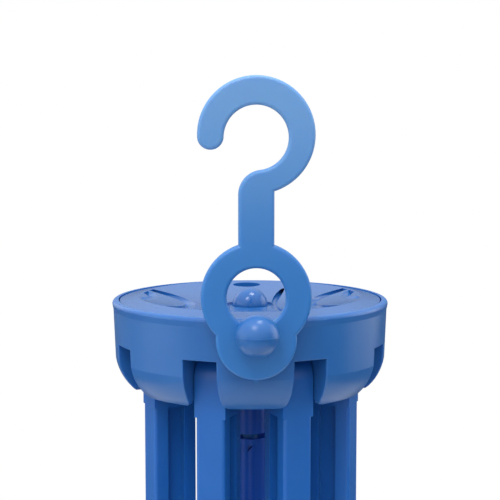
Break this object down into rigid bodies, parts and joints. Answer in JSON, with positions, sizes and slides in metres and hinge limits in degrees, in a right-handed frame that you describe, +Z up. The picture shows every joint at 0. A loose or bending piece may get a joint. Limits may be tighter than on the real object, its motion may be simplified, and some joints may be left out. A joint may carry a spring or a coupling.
{
  "type": "folding clip drying hanger",
  "caption": "Folding clip drying hanger: flat hook plate on a side stud, round bowl hub with cover, arms folded down that carry spring clips.",
  "frame": {"origin": "centre of the rail seat inside the hook, in the middle of the plate's thickness", "axes": "+Z up, -Y to the front, where the hook plate and the side stud are, +X to the right seen from the front"},
  "size_m": [0.1024, 0.1215, 0.3545],
  "materials": {
    "hook_plastic": "satin moulded plastic, slightly translucent mid blue",
    "hub_plastic": "satin moulded plastic, mid blue",
    "cover_plastic": "satin moulded plastic with leaf-shaped recesses, mid blue",
    "stud_plastic": "glossy moulded plastic, mid blue",
    "arm_plastic": "satin moulded plastic, mid blue",
    "clip_plastic": "satin moulded plastic, mid blue",
    "spring_steel": "bright drawn spring wire"
  },
  "bodies": {
    "hook": {"hook": "hook_plastic"},
    "hub": {"hub_body": "hub_plastic", "top_cover": "cover_plastic", "centre_stud": "stud_plastic"},
    "arm_1": {"arm_1": "arm_plastic"},
    "arm_2": {"arm_2": "arm_plastic"},
    "arm_3": {"arm_3": "arm_plastic"},
    "arm_4": {"arm_4": "arm_plastic"},
    "arm_5": {"arm_5": "arm_plastic"},
    "arm_6": {"arm_6": "arm_plastic"},
    "arm_7": {"arm_7": "arm_plastic"},
    "arm_8": {"arm_8": "arm_plastic"},
    "clip_1_middle": {"clip_1_middle_leg": "clip_plastic", "clip_1_middle_spring": "spring_steel"},
    "clip_1_middle_lever": {"clip_1_middle_lever": "clip_plastic"},
    "clip_1_end": {"clip_1_end_leg": "clip_plastic", "clip_1_end_spring": "spring_steel"},
    "clip_1_end_lever": {"clip_1_end_lever": "clip_plastic"},
    "clip_2_middle": {"clip_2_middle_leg": "clip_plastic", "clip_2_middle_spring": "spring_steel"},
    "clip_2_middle_lever": {"clip_2_middle_lever": "clip_plastic"},
    "clip_2_end": {"clip_2_end_leg": "clip_plastic", "clip_2_end_spring": "spring_steel"},
    "clip_2_end_lever": {"clip_2_end_lever": "clip_plastic"},
    "clip_3_middle": {"clip_3_middle_leg": "clip_plastic", "clip_3_middle_spring": "spring_steel"},
    "clip_3_middle_lever": {"clip_3_middle_lever": "clip_plastic"},
    "clip_3_end": {"clip_3_end_leg": "clip_plastic", "clip_3_end_spring": "spring_steel"},
    "clip_3_end_lever": {"clip_3_end_lever": "clip_plastic"},
    "clip_4_middle": {"clip_4_middle_leg": "clip_plastic", "clip_4_middle_spring": "spring_steel"},
    "clip_4_middle_lever": {"clip_4_middle_lever": "clip_plastic"},
    "clip_4_end": {"clip_4_end_leg": "clip_plastic", "clip_4_end_spring": "spring_steel"},
    "clip_4_end_lever": {"clip_4_end_lever": "clip_plastic"},
    "clip_5_middle": {"clip_5_middle_leg": "clip_plastic", "clip_5_middle_spring": "spring_steel"},
    "clip_5_middle_lever": {"clip_5_middle_lever": "clip_plastic"},
    "clip_5_end": {"clip_5_end_leg": "clip_plastic", "clip_5_end_spring": "spring_steel"},
    "clip_5_end_lever": {"clip_5_end_lever": "clip_plastic"},
    "clip_6_middle": {"clip_6_middle_leg": "clip_plastic", "clip_6_middle_spring": "spring_steel"},
    "clip_6_middle_lever": {"clip_6_middle_lever": "clip_plastic"},
    "clip_6_end": {"clip_6_end_leg": "clip_plastic", "clip_6_end_spring": "spring_steel"},
    "clip_6_end_lever": {"clip_6_end_lever": "clip_plastic"},
    "clip_7_middle": {"clip_7_middle_leg": "clip_plastic", "clip_7_middle_spring": "spring_steel"},
    "clip_7_middle_lever": {"clip_7_middle_lever": "clip_plastic"},
    "clip_7_end": {"clip_7_end_leg": "clip_plastic", "clip_7_end_spring": "spring_steel"},
    "clip_7_end_lever": {"clip_7_end_lever": "clip_plastic"},
    "clip_8_middle": {"clip_8_middle_leg": "clip_plastic", "clip_8_middle_spring": "spring_steel"},
    "clip_8_middle_lever": {"clip_8_middle_lever": "clip_plastic"},
    "clip_8_end": {"clip_8_end_leg": "clip_plastic", "clip_8_end_spring": "spring_steel"},
    "clip_8_end_lever": {"clip_8_end_lever": "clip_plastic"}
  },
  "joints": [
    {"name": "hub_swing", "type": "hinge", "parent": "hook", "child": "hub", "pos_m": [0, 0, -0.065], "axis": [0, 1, 0], "range_deg": [-55, 55]},
    {"name": "arm_1_fold", "type": "hinge", "parent": "hub", "child": "arm_1", "pos_m": [0.01244, 0.02417, -0.085], "axis": [-0.9239, -0.3827, 0], "range_deg": [0, 90]},
    {"name": "arm_2_fold", "type": "hinge", "parent": "hub", "child": "arm_2", "pos_m": [0.03003, 0.04176, -0.085], "axis": [-0.3827, -0.9239, 0], "range_deg": [0, 90]},
    {"name": "arm_3_fold", "type": "hinge", "parent": "hub", "child": "arm_3", "pos_m": [0.03003, 0.06664, -0.085], "axis": [0.3827, -0.9239, 0], "range_deg": [0, 90]},
    {"name": "arm_4_fold", "type": "hinge", "parent": "hub", "child": "arm_4", "pos_m": [0.01244, 0.08423, -0.085], "axis": [0.9239, -0.3827, 0], "range_deg": [0, 90]},
    {"name": "arm_5_fold", "type": "hinge", "parent": "hub", "child": "arm_5", "pos_m": [-0.01244, 0.08423, -0.085], "axis": [0.9239, 0.3827, 0], "range_deg": [0, 90]},
    {"name": "arm_6_fold", "type": "hinge", "parent": "hub", "child": "arm_6", "pos_m": [-0.03003, 0.06664, -0.085], "axis": [0.3827, 0.9239, 0], "range_deg": [0, 90]},
    {"name": "arm_7_fold", "type": "hinge", "parent": "hub", "child": "arm_7", "pos_m": [-0.03003, 0.04176, -0.085], "axis": [-0.3827, 0.9239, 0], "range_deg": [0, 90]},
    {"name": "arm_8_fold", "type": "hinge", "parent": "hub", "child": "arm_8", "pos_m": [-0.01244, 0.02417, -0.085], "axis": [-0.9239, 0.3827, 0], "range_deg": [0, 90]},
    {"name": "clip_1_middle_swing", "type": "hinge", "parent": "arm_1", "child": "clip_1_middle", "pos_m": [0.00823, 0.03434, -0.189], "axis": [-0.9239, -0.3827, 0], "range_deg": [-90, 0]},
    {"name": "clip_1_middle_squeeze", "type": "hinge", "parent": "clip_1_middle", "child": "clip_1_middle_lever", "pos_m": [0.00712, 0.03702, -0.216], "axis": [0.9239, 0.3827, 0], "range_deg": [0, 11], "stiffness_Nm_per_rad": 0.3, "springref_deg": -9.74, "deforming": ["clip_1_middle_spring"]},
    {"name": "clip_1_end_swing", "type": "hinge", "parent": "arm_1", "child": "clip_1_end", "pos_m": [0.00823, 0.03434, -0.273], "axis": [-0.9239, -0.3827, 0], "range_deg": [-90, 0]},
    {"name": "clip_1_end_squeeze", "type": "hinge", "parent": "clip_1_end", "child": "clip_1_end_lever", "pos_m": [0.00712, 0.03702, -0.3], "axis": [0.9239, 0.3827, 0], "range_deg": [0, 11], "stiffness_Nm_per_rad": 0.3, "springref_deg": -9.74, "deforming": ["clip_1_end_spring"]},
    {"name": "clip_2_middle_swing", "type": "hinge", "parent": "arm_2", "child": "clip_2_middle", "pos_m": [0.01986, 0.04597, -0.189], "axis": [-0.3827, -0.9239, 0], "range_deg": [-90, 0]},
    {"name": "clip_2_middle_squeeze", "type": "hinge", "parent": "clip_2_middle", "child": "clip_2_middle_lever", "pos_m": [0.01718, 0.04708, -0.216], "axis": [0.3827, 0.9239, 0], "range_deg": [0, 11], "stiffness_Nm_per_rad": 0.3, "springref_deg": -9.74, "deforming": ["clip_2_middle_spring"]},
    {"name": "clip_2_end_swing", "type": "hinge", "parent": "arm_2", "child": "clip_2_end", "pos_m": [0.01986, 0.04597, -0.273], "axis": [-0.3827, -0.9239, 0], "range_deg": [-90, 0]},
    {"name": "clip_2_end_squeeze", "type": "hinge", "parent": "clip_2_end", "child": "clip_2_end_lever", "pos_m": [0.01718, 0.04708, -0.3], "axis": [0.3827, 0.9239, 0], "range_deg": [0, 11], "stiffness_Nm_per_rad": 0.3, "springref_deg": -9.74, "deforming": ["clip_2_end_spring"]},
    {"name": "clip_3_middle_swing", "type": "hinge", "parent": "arm_3", "child": "clip_3_middle", "pos_m": [0.01986, 0.06243, -0.189], "axis": [0.3827, -0.9239, 0], "range_deg": [-90, 0]},
    {"name": "clip_3_middle_squeeze", "type": "hinge", "parent": "clip_3_middle", "child": "clip_3_middle_lever", "pos_m": [0.01718, 0.06132, -0.216], "axis": [-0.3827, 0.9239, 0], "range_deg": [0, 11], "stiffness_Nm_per_rad": 0.3, "springref_deg": -9.74, "deforming": ["clip_3_middle_spring"]},
    {"name": "clip_3_end_swing", "type": "hinge", "parent": "arm_3", "child": "clip_3_end", "pos_m": [0.01986, 0.06243, -0.273], "axis": [0.3827, -0.9239, 0], "range_deg": [-90, 0]},
    {"name": "clip_3_end_squeeze", "type": "hinge", "parent": "clip_3_end", "child": "clip_3_end_lever", "pos_m": [0.01718, 0.06132, -0.3], "axis": [-0.3827, 0.9239, 0], "range_deg": [0, 11], "stiffness_Nm_per_rad": 0.3, "springref_deg": -9.74, "deforming": ["clip_3_end_spring"]},
    {"name": "clip_4_middle_swing", "type": "hinge", "parent": "arm_4", "child": "clip_4_middle", "pos_m": [0.00823, 0.07406, -0.189], "axis": [0.9239, -0.3827, 0], "range_deg": [-90, 0]},
    {"name": "clip_4_middle_squeeze", "type": "hinge", "parent": "clip_4_middle", "child": "clip_4_middle_lever", "pos_m": [0.00712, 0.07138, -0.216], "axis": [-0.9239, 0.3827, 0], "range_deg": [0, 11], "stiffness_Nm_per_rad": 0.3, "springref_deg": -9.74, "deforming": ["clip_4_middle_spring"]},
    {"name": "clip_4_end_swing", "type": "hinge", "parent": "arm_4", "child": "clip_4_end", "pos_m": [0.00823, 0.07406, -0.273], "axis": [0.9239, -0.3827, 0], "range_deg": [-90, 0]},
    {"name": "clip_4_end_squeeze", "type": "hinge", "parent": "clip_4_end", "child": "clip_4_end_lever", "pos_m": [0.00712, 0.07138, -0.3], "axis": [-0.9239, 0.3827, 0], "range_deg": [0, 11], "stiffness_Nm_per_rad": 0.3, "springref_deg": -9.74, "deforming": ["clip_4_end_spring"]},
    {"name": "clip_5_middle_swing", "type": "hinge", "parent": "arm_5", "child": "clip_5_middle", "pos_m": [-0.00823, 0.07406, -0.189], "axis": [0.9239, 0.3827, 0], "range_deg": [-90, 0]},
    {"name": "clip_5_middle_squeeze", "type": "hinge", "parent": "clip_5_middle", "child": "clip_5_middle_lever", "pos_m": [-0.00712, 0.07138, -0.216], "axis": [-0.9239, -0.3827, 0], "range_deg": [0, 11], "stiffness_Nm_per_rad": 0.3, "springref_deg": -9.74, "deforming": ["clip_5_middle_spring"]},
    {"name": "clip_5_end_swing", "type": "hinge", "parent": "arm_5", "child": "clip_5_end", "pos_m": [-0.00823, 0.07406, -0.273], "axis": [0.9239, 0.3827, 0], "range_deg": [-90, 0]},
    {"name": "clip_5_end_squeeze", "type": "hinge", "parent": "clip_5_end", "child": "clip_5_end_lever", "pos_m": [-0.00712, 0.07138, -0.3], "axis": [-0.9239, -0.3827, 0], "range_deg": [0, 11], "stiffness_Nm_per_rad": 0.3, "springref_deg": -9.74, "deforming": ["clip_5_end_spring"]},
    {"name": "clip_6_middle_swing", "type": "hinge", "parent": "arm_6", "child": "clip_6_middle", "pos_m": [-0.01986, 0.06243, -0.189], "axis": [0.3827, 0.9239, 0], "range_deg": [-90, 0]},
    {"name": "clip_6_middle_squeeze", "type": "hinge", "parent": "clip_6_middle", "child": "clip_6_middle_lever", "pos_m": [-0.01718, 0.06132, -0.216], "axis": [-0.3827, -0.9239, 0], "range_deg": [0, 11], "stiffness_Nm_per_rad": 0.3, "springref_deg": -9.74, "deforming": ["clip_6_middle_spring"]},
    {"name": "clip_6_end_swing", "type": "hinge", "parent": "arm_6", "child": "clip_6_end", "pos_m": [-0.01986, 0.06243, -0.273], "axis": [0.3827, 0.9239, 0], "range_deg": [-90, 0]},
    {"name": "clip_6_end_squeeze", "type": "hinge", "parent": "clip_6_end", "child": "clip_6_end_lever", "pos_m": [-0.01718, 0.06132, -0.3], "axis": [-0.3827, -0.9239, 0], "range_deg": [0, 11], "stiffness_Nm_per_rad": 0.3, "springref_deg": -9.74, "deforming": ["clip_6_end_spring"]},
    {"name": "clip_7_middle_swing", "type": "hinge", "parent": "arm_7", "child": "clip_7_middle", "pos_m": [-0.01986, 0.04597, -0.189], "axis": [-0.3827, 0.9239, 0], "range_deg": [-90, 0]},
    {"name": "clip_7_middle_squeeze", "type": "hinge", "parent": "clip_7_middle", "child": "clip_7_middle_lever", "pos_m": [-0.01718, 0.04708, -0.216], "axis": [0.3827, -0.9239, 0], "range_deg": [0, 11], "stiffness_Nm_per_rad": 0.3, "springref_deg": -9.74, "deforming": ["clip_7_middle_spring"]},
    {"name": "clip_7_end_swing", "type": "hinge", "parent": "arm_7", "child": "clip_7_end", "pos_m": [-0.01986, 0.04597, -0.273], "axis": [-0.3827, 0.9239, 0], "range_deg": [-90, 0]},
    {"name": "clip_7_end_squeeze", "type": "hinge", "parent": "clip_7_end", "child": "clip_7_end_lever", "pos_m": [-0.01718, 0.04708, -0.3], "axis": [0.3827, -0.9239, 0], "range_deg": [0, 11], "stiffness_Nm_per_rad": 0.3, "springref_deg": -9.74, "deforming": ["clip_7_end_spring"]},
    {"name": "clip_8_middle_swing", "type": "hinge", "parent": "arm_8", "child": "clip_8_middle", "pos_m": [-0.00823, 0.03434, -0.189], "axis": [-0.9239, 0.3827, 0], "range_deg": [-90, 0]},
    {"name": "clip_8_middle_squeeze", "type": "hinge", "parent": "clip_8_middle", "child": "clip_8_middle_lever", "pos_m": [-0.00712, 0.03702, -0.216], "axis": [0.9239, -0.3827, 0], "range_deg": [0, 11], "stiffness_Nm_per_rad": 0.3, "springref_deg": -9.74, "deforming": ["clip_8_middle_spring"]},
    {"name": "clip_8_end_swing", "type": "hinge", "parent": "arm_8", "child": "clip_8_end", "pos_m": [-0.00823, 0.03434, -0.273], "axis": [-0.9239, 0.3827, 0], "range_deg": [-90, 0]},
    {"name": "clip_8_end_squeeze", "type": "hinge", "parent": "clip_8_end", "child": "clip_8_end_lever", "pos_m": [-0.00712, 0.03702, -0.3], "axis": [0.9239, -0.3827, 0], "range_deg": [0, 11], "stiffness_Nm_per_rad": 0.3, "springref_deg": -9.74, "deforming": ["clip_8_end_spring"]}
  ],
  "couplings": [
    {"joint": "clip_1_middle_swing", "follows": "arm_1_fold", "ratio": -1},
    {"joint": "clip_1_end_swing", "follows": "arm_1_fold", "ratio": -1},
    {"joint": "clip_2_middle_swing", "follows": "arm_2_fold", "ratio": -1},
    {"joint": "clip_2_end_swing", "follows": "arm_2_fold", "ratio": -1},
    {"joint": "clip_3_middle_swing", "follows": "arm_3_fold", "ratio": -1},
    {"joint": "clip_3_end_swing", "follows": "arm_3_fold", "ratio": -1},
    {"joint": "clip_4_middle_swing", "follows": "arm_4_fold", "ratio": -1},
    {"joint": "clip_4_end_swing", "follows": "arm_4_fold", "ratio": -1},
    {"joint": "clip_5_middle_swing", "follows": "arm_5_fold", "ratio": -1},
    {"joint": "clip_5_end_swing", "follows": "arm_5_fold", "ratio": -1},
    {"joint": "clip_6_middle_swing", "follows": "arm_6_fold", "ratio": -1},
    {"joint": "clip_6_end_swing", "follows": "arm_6_fold", "ratio": -1},
    {"joint": "clip_7_middle_swing", "follows": "arm_7_fold", "ratio": -1},
    {"joint": "clip_7_end_swing", "follows": "arm_7_fold", "ratio": -1},
    {"joint": "clip_8_middle_swing", "follows": "arm_8_fold", "ratio": -1},
    {"joint": "clip_8_end_swing", "follows": "arm_8_fold", "ratio": -1}
  ]
}
